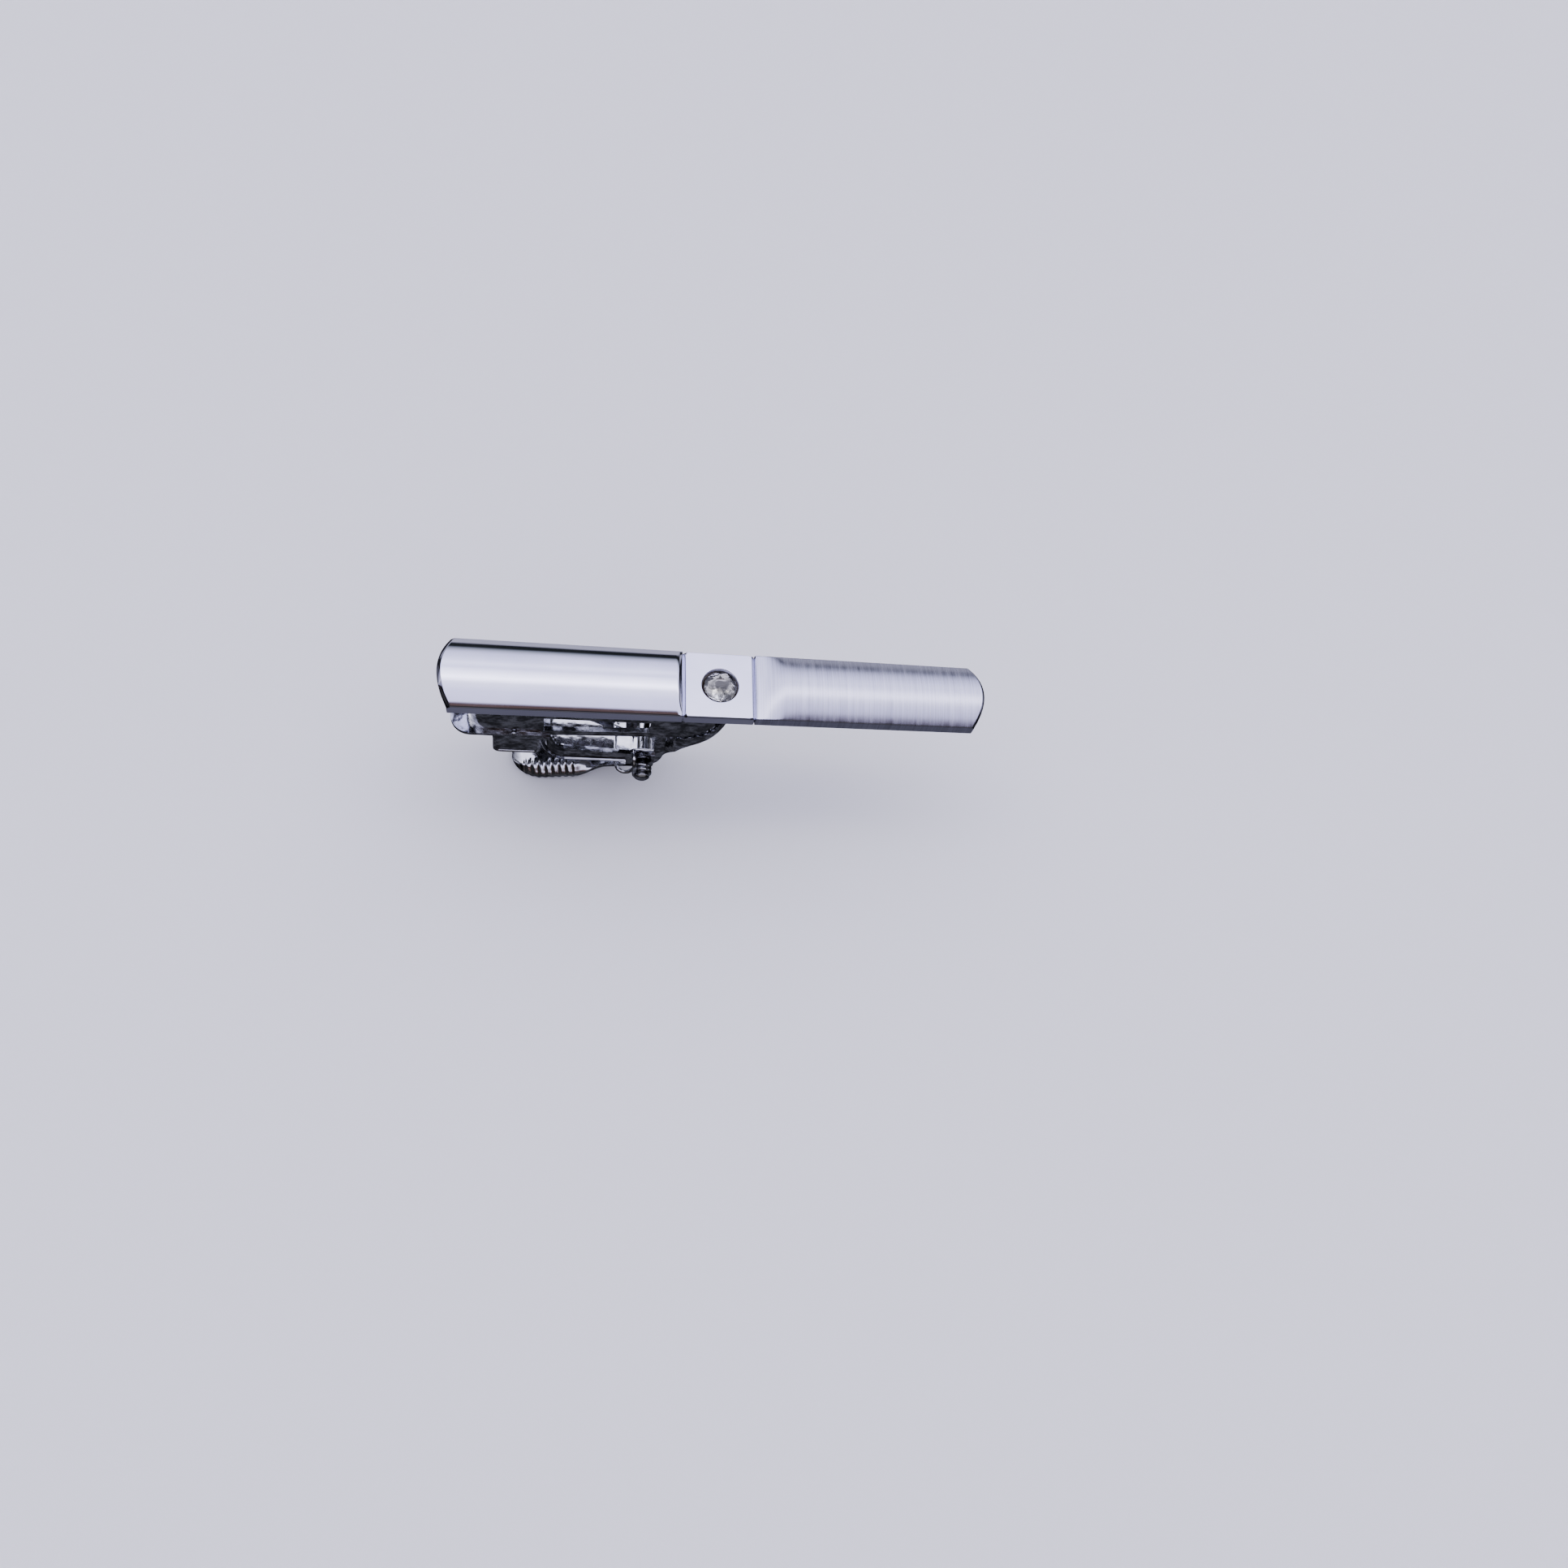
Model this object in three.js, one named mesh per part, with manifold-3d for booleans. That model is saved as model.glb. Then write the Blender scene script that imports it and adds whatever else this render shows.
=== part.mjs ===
// Tie bar with a sprung alligator clasp on its back. Millimetres, +Z out of the front face,
// +X towards the brushed end. Heights are first measured from the front face's long edges (z = 0);
// the finished group is then lifted so that its lowest point is at z = 0.
import * as THREE from 'three';
import { mergeVertices } from 'three/addons/utils/BufferGeometryUtils.js';
import Module from 'manifold-3d';

const wasm = await Module();
wasm.setup();

// Bar
const BAR_HALF_LENGTH = 19.88;     // centre to the corners
const END_BULGE = 0.85;            // how far each curved end stands past its corners
const POLISHED_END_WIDTH = 5.75;
const BRUSHED_END_WIDTH = 5.2;
const BAR_BACK = -1.0;             // flat back, below the front face's long edges
const CROWN = 0.75;                // height of the domed halves at mid-width
const GROOVE_LEFT = -2.58;
const GROOVE_RIGHT = 2.9;
const GROOVE_DEPTH = 0.22;
const POLISHED_RUN = 0.4;          // the domes rise from the grooves over these lengths
const BRUSHED_RUN = 1.8;
const END_BEVEL = 0.3;
const DOME_STEPS = 14;

// Crystal
const CRYSTAL_X = 0.24;
const HOLE_RADIUS = 1.4;
const HOLE_DEPTH = 0.78;
const CRYSTAL_RADIUS = 1.32;
const CRYSTAL_SIDES = 8;
const FOIL_THICKNESS = 0.06;

// Clasp, sheet metal
const SHEET = 0.4;
const SOLDER = 0.15;
const BASE_REAR = -18.6;
const BASE_NOSE = 1.4;
const BASE_HALF_WIDTH = 2.4;
const BASE_TOP = BAR_BACK - SOLDER;
const BASE_CORNER = 1.5;
const BASE_RIM = -5.0;             // level behind RIM_BREAK, then rising to the bite
const RIM_BREAK = -12.9;
const LIP = 0.25;
const LIP_REAR = -19.8;
const WINDOW = [[-12.8, -2.2], [-12.8, -4.3], [-4.8, -3.75], [-4.8, -2.2]];

// Pivot
const PIVOT_X = -4.9;
const PIVOT_Z = -9.6;
const PIN_RADIUS = 0.4;
const PIN_HOLE = 0.5;
const PIN_HALF_LENGTH = 3.5;
const PIN_HEAD = { radius: 0.6, height: 0.2, edge: 0.06 };

// Cradle that carries the pin
const CRADLE_HALF_WIDTH = 2.4;
const CRADLE_WALL = 0.35;
const CRADLE_TOP = BASE_RIM - 0.02;
const CRADLE_FLANGE = 0.15;
const EAR = { rear: -16.6, front: -13.0, bottom: -8.2, corner: 0.55 };
const CUP = { rear: -12.9, front: -7.2, top: -7.3, bottom: -9.0, corner: 1.9, fall: 0.7 };
const PIN_LUG = 0.9;
const RIVET = { x: -15, radius: 0.2, height: 0.15 };

// Lever
const LEVER_HALF_WIDTH = 1.85;
const LEVER_NOSE = 1.65;
const JAW_GAP = 0.35;
const TOOTH_PITCH = 0.6;
const TOOTH_DEPTH = 0.28;
const ARM = { x: -6.1, z: -11.3, root: 0.5, length: 9.25, slope: Math.atan2(1.7, 9.1) };
const PAD = { halfWidth: 2.4, flareFrom: 1.6, flareTo: 4.2, tip: 2.6, drop: 0.4 };
const RIDGE = { pitch: 0.55, depth: 0.07, from: 3.9, to: 8.3 };

// Torsion spring
const WIRE = 0.16;                 // wire radius
const COIL_RADIUS = 0.62;
const COIL_PITCH = 0.35;
const COIL_TURNS = 2;
const COIL_START = 2.62;
const HOOK_Z = -7.6;                // the fixed legs rest on the cradle's arms here
const BRIDGE_Z = -10.75;
const WIRE_SIDES = 8;

const MATERIALS = {
  polished: new THREE.MeshStandardMaterial({ color: 0xd9d8e2, roughness: 0.06, metalness: 1 }),
  brushed: new THREE.MeshStandardMaterial({ color: 0xbdbcc8, roughness: 0.34, metalness: 1 }),
  clasp: new THREE.MeshStandardMaterial({ color: 0xb9bac2, roughness: 0.16, metalness: 1 }),
  spring: new THREE.MeshStandardMaterial({ color: 0x9fa1a8, roughness: 0.22, metalness: 1 }),
  solder: new THREE.MeshStandardMaterial({ color: 0x85868a, roughness: 0.45, metalness: 1 }),
  crystal: new THREE.MeshStandardMaterial({ color: 0xf0eee8, roughness: 0.02, metalness: 0 }),
  foil: new THREE.MeshStandardMaterial({ color: 0x9a948c, roughness: 0.1, metalness: 1 }),
};

const group = new THREE.Group();

function addPart(name, geometry, material) {
  const mesh = new THREE.Mesh(geometry, material);
  mesh.name = name;
  group.add(mesh);
}

// --- solids ---------------------------------------------------------------------------------

function toSolid(geometry) {
  const bare = geometry.clone();
  bare.deleteAttribute('normal');
  bare.deleteAttribute('uv');
  const merged = mergeVertices(bare, 1e-5);
  return new wasm.Manifold(new wasm.Mesh({
    numProp: 3,
    vertProperties: new Float32Array(merged.attributes.position.array),
    triVerts: new Uint32Array(merged.index.array),
  }));
}

function toGeometry(solid) {
  const { vertProperties, triVerts } = solid.getMesh();
  const geometry = new THREE.BufferGeometry();
  geometry.setAttribute('position', new THREE.BufferAttribute(new Float32Array(vertProperties), 3));
  geometry.setIndex(new THREE.BufferAttribute(new Uint32Array(triVerts), 1));
  return geometry;
}

// A closed solid between two surfaces over the same grid; each surface gives a point at (u, v).
function gridSolid(us, vs, top, bottom) {
  const positions = [];
  for (const surface of [top, bottom]) {
    for (const u of us) for (const v of vs) positions.push(...surface(u, v));
  }
  const across = vs.length;
  const layer = us.length * across;
  const index = [];
  const quad = (a, b, c, d) => index.push(a, b, c, a, c, d);
  for (let i = 0; i < us.length - 1; i++) {
    for (let j = 0; j < across - 1; j++) {
      const a = i * across + j;
      quad(a, a + across, a + across + 1, a + 1);
      quad(layer + a, layer + a + 1, layer + a + across + 1, layer + a + across);
    }
    const low = i * across;
    const high = low + across - 1;
    quad(layer + low, layer + low + across, low + across, low);
    quad(high, high + across, layer + high + across, layer + high);
  }
  for (let j = 0; j < across - 1; j++) {
    const last = (us.length - 1) * across + j;
    quad(j, j + 1, layer + j + 1, layer + j);
    quad(last + 1, last, layer + last, layer + last + 1);
  }
  const geometry = new THREE.BufferGeometry();
  geometry.setAttribute('position', new THREE.Float32BufferAttribute(positions, 3));
  geometry.setIndex(index);
  return geometry;
}

// A plan outline in X and Y, filled between two heights.
function slab(shape, low, high, curveSegments = 8) {
  const geometry = new THREE.ExtrudeGeometry(shape, {
    depth: high - low, bevelEnabled: false, curveSegments,
  });
  return toSolid(geometry.translate(0, 0, low));
}

// A side outline in X and Z, filled from y = from to y = to.
function sideSlab(shape, from, to, curveSegments = 8) {
  const geometry = new THREE.ExtrudeGeometry(shape, {
    depth: to - from, bevelEnabled: false, curveSegments,
  });
  return toSolid(geometry.rotateX(Math.PI / 2).translate(0, to, 0));
}

function polygon(points) {
  return new THREE.Shape(points.map(([x, y]) => new THREE.Vector2(x, y)));
}

function box(x0, x1, y0, y1, z0, z1) {
  const geometry = new THREE.BoxGeometry(x1 - x0, y1 - y0, z1 - z0);
  return toSolid(geometry.translate((x0 + x1) / 2, (y0 + y1) / 2, (z0 + z1) / 2));
}

// A cylinder along Y at a given x and z.
function crossBar(x, z, radius, from, to, sides = 20) {
  const geometry = new THREE.CylinderGeometry(radius, radius, to - from, sides);
  return toSolid(geometry.translate(x, (from + to) / 2, z));
}

// A wire along a list of points.
function wire(points, steps, sides = WIRE_SIDES) {
  const curve = new THREE.CatmullRomCurve3(points, false, 'centripetal');
  const section = new THREE.Shape();
  section.absarc(0, 0, WIRE, 0, 2 * Math.PI, false);
  return new THREE.ExtrudeGeometry(section, {
    steps, extrudePath: curve, bevelEnabled: false, curveSegments: sides / 2,
  });
}

// --- bar ------------------------------------------------------------------------------------

const spread = (count) => Array.from({ length: count + 1 }, (_, i) => i / count);
const ease = (t) => THREE.MathUtils.smoothstep(t, 0, 1);

function halfWidth(x) {
  const t = (x + BAR_HALF_LENGTH) / (2 * BAR_HALF_LENGTH);
  return THREE.MathUtils.lerp(POLISHED_END_WIDTH, BRUSHED_END_WIDTH, t) / 2;
}

// One domed half, from its groove out to its curved end; side is -1 or +1, and the dome rises
// from the groove over the given run.
function domedHalf(side, groove, run) {
  const length = BAR_HALF_LENGTH - Math.abs(groove);
  const rise = spread(4).slice(1).map((t) => GROOVE_DEPTH * 0.2 + t * run);
  const along = [0, GROOVE_DEPTH * 0.2, ...rise, length - 2 * END_BEVEL, length]
    .map((d) => d / length);
  const us = side > 0 ? along : along.map((t) => 1 - t).reverse();
  const vs = spread(DOME_STEPS);
  const place = (u, v) => {
    const t = side > 0 ? u : 1 - u;
    const s = 2 * v - 1;
    const x = groove + side * t * (length + END_BULGE * (1 - s * s));
    return [x, s * halfWidth(groove + side * t * length), s, t * length];
  };
  const top = (u, v) => {
    const [x, y, s, d] = place(u, v);
    const dome = CROWN * (1 - s * s) * ease(d / run);
    const dip = d === 0 ? GROOVE_DEPTH : 0;
    const bevel = d > length - END_BEVEL ? END_BEVEL : 0;
    return [x, y, dome - dip - bevel];
  };
  const bottom = (u, v) => {
    const [x, y] = place(u, v);
    return [x, y, BAR_BACK];
  };
  return gridSolid(us, vs, top, bottom);
}

function centreBlock() {
  const length = GROOVE_RIGHT - GROOVE_LEFT;
  const us = [0, GROOVE_DEPTH / length, 1 - GROOVE_DEPTH / length, 1];
  const place = (u, v) => {
    const x = GROOVE_LEFT + u * length;
    return [x, (2 * v - 1) * halfWidth(x)];
  };
  const top = (u, v) => [...place(u, v), u === 0 || u === 1 ? -GROOVE_DEPTH : 0];
  const bottom = (u, v) => [...place(u, v), BAR_BACK];
  const block = toSolid(gridSolid(us, [0, 1], top, bottom));
  const hole = new THREE.CylinderGeometry(HOLE_RADIUS, HOLE_RADIUS, 2 * HOLE_DEPTH, 32);
  return toGeometry(block.subtract(toSolid(hole.rotateX(Math.PI / 2).translate(CRYSTAL_X, 0, 0))));
}

// --- crystal --------------------------------------------------------------------------------

const CRYSTAL_FLOOR = -HOLE_DEPTH + FOIL_THICKNESS;

function crystal() {
  const profile = [
    [0, 0.01], [CRYSTAL_RADIUS * 0.72, 0.01], [CRYSTAL_RADIUS, 0.22], [CRYSTAL_RADIUS, 0.3],
    [CRYSTAL_RADIUS * 0.86, 0.48], [CRYSTAL_RADIUS * 0.55, 0.62], [0, 0.62],
  ];
  const points = profile.map(([r, z]) => new THREE.Vector2(r, z));
  const geometry = new THREE.LatheGeometry(points, CRYSTAL_SIDES);
  return geometry.rotateX(Math.PI / 2).translate(CRYSTAL_X, 0, CRYSTAL_FLOOR);
}

function crystalFoil() {
  const disc = new THREE.CylinderGeometry(CRYSTAL_RADIUS, CRYSTAL_RADIUS, FOIL_THICKNESS, 24);
  return disc.rotateX(Math.PI / 2).translate(CRYSTAL_X, 0, -HOLE_DEPTH + FOIL_THICKNESS / 2);
}

// --- clasp base -----------------------------------------------------------------------------

// The base in plan: rounded corners at the rear and a round nose at the front.
function baseOutline(grow, rear = BASE_REAR - grow) {
  const half = BASE_HALF_WIDTH + grow;
  const noseCentre = BASE_NOSE - BASE_HALF_WIDTH;
  const inset = rear + BASE_CORNER;
  const turn = half - BASE_CORNER;
  const shape = new THREE.Shape();
  shape.moveTo(rear, -turn);
  shape.absarc(inset, -turn, BASE_CORNER, Math.PI, 1.5 * Math.PI, false);
  shape.absarc(noseCentre, 0, half, 1.5 * Math.PI, 2.5 * Math.PI, false);
  shape.absarc(inset, turn, BASE_CORNER, 0.5 * Math.PI, Math.PI, false);
  return shape;
}

// The edge where the two jaws meet, from behind the pivot round to the nose.
const BITE = new THREE.CatmullRomCurve3([
  new THREE.Vector3(-4.9, -4.5, 0), new THREE.Vector3(-3.2, -4.35, 0),
  new THREE.Vector3(-1.7, -3.9, 0), new THREE.Vector3(-0.4, -3.1, 0),
  new THREE.Vector3(0.6, -2.1, 0), new THREE.Vector3(1.3, -1.1, 0),
]);

// The point at t along a side curve, moved by distance to the right of its direction.
function beside(curve, t, distance) {
  const point = curve.getPointAt(t);
  const tangent = curve.getTangentAt(t);
  return [point.x + tangent.y * distance, point.y - tangent.x * distance];
}

// A saw-tooth line along the bite, moved down by drop.
function teeth(drop) {
  const count = 2 * Math.round(BITE.getLength() / TOOTH_PITCH);
  return Array.from({ length: count + 1 }, (_, i) => (
    beside(BITE, i / count, drop + (i % 2 ? TOOTH_DEPTH : 0))
  ));
}

function claspBase() {
  const cavity = slab(baseOutline(-SHEET), BASE_RIM - 1, BASE_TOP - SHEET);
  const lip = slab(baseOutline(LIP, LIP_REAR), BASE_RIM, BASE_RIM + SHEET)
    .subtract(box(RIM_BREAK, BASE_NOSE + 3, -4, 4, BASE_RIM - 1, BASE_RIM + 1));
  const window = sideSlab(polygon(WINDOW), -4, 4);
  const bite = teeth(0);
  const below = sideSlab(polygon([
    ...bite, [4, bite[bite.length - 1][1]], [4, -9], [RIM_BREAK, -9], [RIM_BREAK, BASE_RIM],
  ]), -4, 4);
  return toGeometry(slab(baseOutline(0), BASE_RIM, BASE_TOP)
    .add(lip).subtract(cavity).subtract(window).subtract(below));
}

function solderPad(x, length, halfWidthY) {
  const shape = new THREE.Shape();
  shape.absellipse(x, 0, length / 2, halfWidthY, 0, 2 * Math.PI, false, 0);
  const geometry = new THREE.ExtrudeGeometry(shape, {
    depth: SOLDER, bevelEnabled: false, curveSegments: 16,
  });
  return geometry.translate(0, 0, BASE_TOP);
}

// --- cradle ---------------------------------------------------------------------------------

// A lug below the base's lip.
function earSide() {
  const { rear, front, bottom, corner } = EAR;
  const shape = new THREE.Shape();
  shape.moveTo(front, CRADLE_TOP);
  shape.lineTo(rear, CRADLE_TOP);
  shape.absarc(rear + corner, bottom + corner, corner, Math.PI, 1.5 * Math.PI, false);
  shape.absarc(front - corner, bottom + corner, corner, 1.5 * Math.PI, 2 * Math.PI, false);
  return shape;
}

// The cup in side view: it drops from the base behind, runs level and ends round the pin.
function cupSide() {
  const { rear, top, bottom, fall } = CUP;
  const shape = new THREE.Shape();
  shape.moveTo(rear - 1, CRADLE_TOP);
  shape.lineTo(rear - 1, bottom);
  shape.lineTo(PIVOT_X - PIN_LUG, bottom);
  shape.absarc(PIVOT_X, PIVOT_Z, PIN_LUG, Math.PI, 2 * Math.PI, false);
  shape.lineTo(PIVOT_X + PIN_LUG, top - fall);
  shape.lineTo(rear + 2.2, top);
  shape.quadraticCurveTo(rear + 0.7, top, rear + 0.45, CRADLE_TOP);
  return shape;
}

// The cup in plan: round behind, open towards the jaws.
function cupOutline(grow) {
  const half = CRADLE_HALF_WIDTH + grow;
  const rear = CUP.rear - grow;
  const corner = CUP.corner + grow;
  const shape = new THREE.Shape();
  shape.moveTo(0, half);
  shape.absarc(rear + corner, half - corner, corner, 0.5 * Math.PI, Math.PI, false);
  shape.absarc(rear + corner, corner - half, corner, Math.PI, 1.5 * Math.PI, false);
  shape.lineTo(0, -half);
  return shape;
}

function springCradle() {
  const half = CRADLE_HALF_WIDTH;
  const inner = half - CRADLE_WALL;
  const floor = CUP.bottom + CRADLE_WALL;
  const cup = sideSlab(cupSide(), -half, half)
    .intersect(slab(cupOutline(0), -12, 0))
    .subtract(slab(cupOutline(-CRADLE_WALL), floor, 0))
    .subtract(box(CUP.front, 0, -inner, inner, -12, 0));
  const rim = slab(cupOutline(CRADLE_FLANGE), CUP.bottom, CUP.bottom + CRADLE_FLANGE)
    .subtract(slab(cupOutline(-CRADLE_WALL), -12, 0))
    .subtract(box(PIVOT_X - PIN_LUG - 0.5, 1, -4, 4, -12, 0));
  const ears = sideSlab(earSide(), inner, half).add(sideSlab(earSide(), -half, -inner));
  const flange = box(EAR.rear, CUP.rear + 0.6, -half - LIP, half + LIP, CRADLE_TOP - 0.3, CRADLE_TOP)
    .subtract(box(EAR.rear - 1, CUP.rear - 0.3, -inner, inner, -9, -1));
  return toGeometry(cup.add(rim).add(ears).add(flange)
    .subtract(crossBar(PIVOT_X, PIVOT_Z, PIN_HOLE, -4, 4)));
}

function rivet(side) {
  const { x, radius, height } = RIVET;
  const profile = [
    [0, 0.01], [radius, 0.01], [radius, height * 0.5], [radius * 0.6, height * 0.9], [0, height],
  ];
  const geometry = new THREE.LatheGeometry(profile.map(([r, z]) => new THREE.Vector2(r, z)), 12);
  const y = side * (BASE_HALF_WIDTH + LIP / 2);
  return geometry.rotateX(Math.PI / 2).translate(x, y, BASE_RIM + SHEET);
}

function pivotPin() {
  const end = PIN_HALF_LENGTH;
  const { radius: head, height, edge } = PIN_HEAD;
  const tip = end + height;
  const profile = [
    [0, -tip], [head * 0.7, -tip], [head, -end - edge], [head, -end], [PIN_RADIUS, -end],
    [PIN_RADIUS, end], [head, end], [head, end + edge], [head * 0.7, tip], [0, tip],
  ];
  const points = profile.map(([r, y]) => new THREE.Vector2(r, y));
  return new THREE.LatheGeometry(points, 20).translate(PIVOT_X, 0, PIVOT_Z);
}

// --- lever ----------------------------------------------------------------------------------

// The outside of the lever's web in side view: under the pin, up the neck and along to the nose.
const WEB = new THREE.CatmullRomCurve3([
  new THREE.Vector3(-6.1, -11.3, 0), new THREE.Vector3(-4.7, -11.15, 0),
  new THREE.Vector3(-3.6, -10.2, 0), new THREE.Vector3(-3.15, -8.4, 0),
  new THREE.Vector3(-2.2, -6.6, 0), new THREE.Vector3(-0.9, -5.4, 0),
  new THREE.Vector3(0.5, -4.1, 0), new THREE.Vector3(1.35, -3.0, 0),
  new THREE.Vector3(1.6, -2.4, 0),
]);
const WEB_STEPS = 18;
const NECK_FRONT = -3.3;

const webLine = (inset) => spread(WEB_STEPS).map((t) => beside(WEB, t, -inset));

function leverSide() {
  const rim = teeth(JAW_GAP).slice(3, -3).reverse();
  const earTop = PIVOT_Z + PIN_LUG;
  return polygon([
    ...webLine(0), ...rim, [PIVOT_X + 0.8, earTop], [PIVOT_X - 0.7, earTop],
    [PIVOT_X - 1.3, PIVOT_Z + 0.2],
  ]);
}

function leverCavity() {
  const line = webLine(SHEET);
  return polygon([[-7, line[0][1]], ...line, [line[WEB_STEPS][0], -1], [-7, -1]]);
}

// The lever's body in plan: a neck inside the cradle and a round jaw in front of it.
function leverPlan(inset) {
  const neck = LEVER_HALF_WIDTH - inset;
  const jaw = BASE_HALF_WIDTH - inset;
  const noseCentre = LEVER_NOSE - BASE_HALF_WIDTH;
  const shape = new THREE.Shape();
  shape.moveTo(-8, -neck);
  shape.lineTo(NECK_FRONT, -neck);
  shape.lineTo(NECK_FRONT + 0.8, -jaw);
  shape.absarc(noseCentre, 0, jaw, 1.5 * Math.PI, 2.5 * Math.PI, false);
  shape.lineTo(NECK_FRONT + 0.8, jaw);
  shape.lineTo(NECK_FRONT, neck);
  shape.lineTo(-8, neck);
  return shape;
}

// Half-width of the thumb arm, measured along it from its root: neck, wide pad, round tip.
function armHalfWidth(along) {
  const flare = THREE.MathUtils.smoothstep(along, PAD.flareFrom, PAD.flareTo);
  const wide = THREE.MathUtils.lerp(LEVER_HALF_WIDTH, PAD.halfWidth, flare);
  const tip = Math.max(0, (along - ARM.length + PAD.tip) / PAD.tip);
  return wide * Math.sqrt(1 - 0.9 * tip ** 2);
}

// How far the pad's rim turns away from the bar; s runs from -1 to +1 across the arm.
function rimDrop(along, s) {
  const flare = THREE.MathUtils.smoothstep(along, PAD.flareFrom, PAD.flareTo);
  const side = THREE.MathUtils.smoothstep(Math.abs(s), 0.5, 1.2) * 1.4;
  const tip = Math.max(0, (along - ARM.length + PAD.tip) / PAD.tip) ** 2;
  return PAD.drop * flare * Math.max(side, tip);
}

// Short grip ridges pressed through the sheet along both sides of the pad.
function ridge(along, s) {
  const inside = along > RIDGE.from && along < RIDGE.to;
  const side = THREE.MathUtils.smoothstep(Math.abs(s), 0.45, 0.8);
  return inside ? RIDGE.depth * side * Math.sin(2 * Math.PI * (along - RIDGE.from) / RIDGE.pitch) : 0;
}

function thumbArm() {
  const ridges = spread(32).map((t) => THREE.MathUtils.lerp(RIDGE.from, RIDGE.to, t));
  const us = [-ARM.root, 0, PAD.flareFrom, 2.2, 3, ...ridges, 8.6, 8.85, 9.05, ARM.length].reverse();
  const top = (along, s) => [
    -along, s * armHalfWidth(along), SHEET + ridge(along, s) - rimDrop(along, s),
  ];
  const bottom = (along, s) => [
    -along, s * armHalfWidth(along), ridge(along, s) - rimDrop(along, s),
  ];
  const arm = gridSolid(us, spread(10).map((t) => 2 * t - 1), top, bottom);
  return toSolid(arm.rotateY(-ARM.slope).translate(ARM.x, 0, ARM.z));
}

function lever() {
  const body = sideSlab(leverSide(), -3, 3).intersect(slab(leverPlan(0), -12, 0));
  const cavity = sideSlab(leverCavity(), -3, 3).intersect(slab(leverPlan(SHEET), -12, 0));
  return toGeometry(body.subtract(cavity).add(thumbArm())
    .subtract(crossBar(PIVOT_X, PIVOT_Z, PIN_HOLE, -4, 4)));
}

// --- spring ---------------------------------------------------------------------------------

// Two turns outside an arm of the cradle, then a leg that hooks over the arm's upper edge.
function springCoil(side) {
  const points = [];
  const perTurn = 12;
  for (let i = 0; i <= COIL_TURNS * perTurn; i++) {
    const turn = i / perTurn;
    const angle = Math.PI - 2 * Math.PI * turn;
    points.push(new THREE.Vector3(
      PIVOT_X + COIL_RADIUS * Math.cos(angle),
      side * (COIL_START + turn * COIL_PITCH),
      PIVOT_Z + COIL_RADIUS * Math.sin(angle),
    ));
  }
  const last = points[points.length - 1];
  const leg = [
    [-0.08, 0, HOOK_Z - 0.9], [-0.12, -0.12, HOOK_Z - 0.25], [-0.14, -0.5, HOOK_Z],
    [-0.14, -1.2, HOOK_Z],
  ];
  leg.forEach(([x, y, z]) => points.push(new THREE.Vector3(last.x + x, last.y + side * y, z)));
  return wire(points, 38);
}

// The wire's middle, which joins the two coils and presses on the thumb arm.
function springBridge() {
  const left = PIVOT_X - COIL_RADIUS;
  const half = [
    [left, COIL_START, PIVOT_Z - 0.35], [left - 0.1, COIL_START, PIVOT_Z - 0.7],
    [left - 0.7, COIL_START, BRIDGE_Z], [left - 1.2, COIL_START - 0.25, BRIDGE_Z],
    [left - 1.4, COIL_START - 0.8, BRIDGE_Z],
  ];
  const far = half.map(([x, y, h]) => new THREE.Vector3(x, y, h));
  const near = half.map(([x, y, h]) => new THREE.Vector3(x, -y, h)).reverse();
  return wire([...far, ...near], 30);
}

const PARTS = [
  ['polished_half', domedHalf(-1, GROOVE_LEFT, POLISHED_RUN), MATERIALS.polished],
  ['centre_block', centreBlock(), MATERIALS.polished],
  ['brushed_half', domedHalf(1, GROOVE_RIGHT, BRUSHED_RUN), MATERIALS.brushed],
  ['crystal', crystal(), MATERIALS.crystal],
  ['crystal_foil', crystalFoil(), MATERIALS.foil],
  ['clasp_base', claspBase(), MATERIALS.clasp],
  ['solder_rear', solderPad(-15.4, 4.6, 1.7), MATERIALS.solder],
  ['solder_front', solderPad(-7.5, 6.0, 1.7), MATERIALS.solder],
  ['spring_cradle', springCradle(), MATERIALS.clasp],
  ['cradle_rivet_lower', rivet(-1), MATERIALS.clasp],
  ['cradle_rivet_upper', rivet(1), MATERIALS.clasp],
  ['pivot_pin', pivotPin(), MATERIALS.clasp],
  ['lever', lever(), MATERIALS.clasp],
  ['spring_coil_lower', springCoil(-1), MATERIALS.spring],
  ['spring_coil_upper', springCoil(1), MATERIALS.spring],
  ['spring_bridge', springBridge(), MATERIALS.spring],
];
PARTS.forEach(([name, geometry, material]) => addPart(name, geometry, material));

const bounds = new THREE.Box3().setFromObject(group);
group.position.set(-(bounds.min.x + bounds.max.x) / 2, 0, -bounds.min.z);

export default group;
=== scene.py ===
"""Looks of the tie bar: domed mirror and brushed halves, a set crystal and a plated spring clasp.

Distances are written in millimetres in the bar's own frame, where z = 0 is the plane of the
front face's long edges, and at() turns them into the model's metres.
"""
import math

import bmesh
import bpy
from mathutils import Euler, Matrix, Vector

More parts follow.
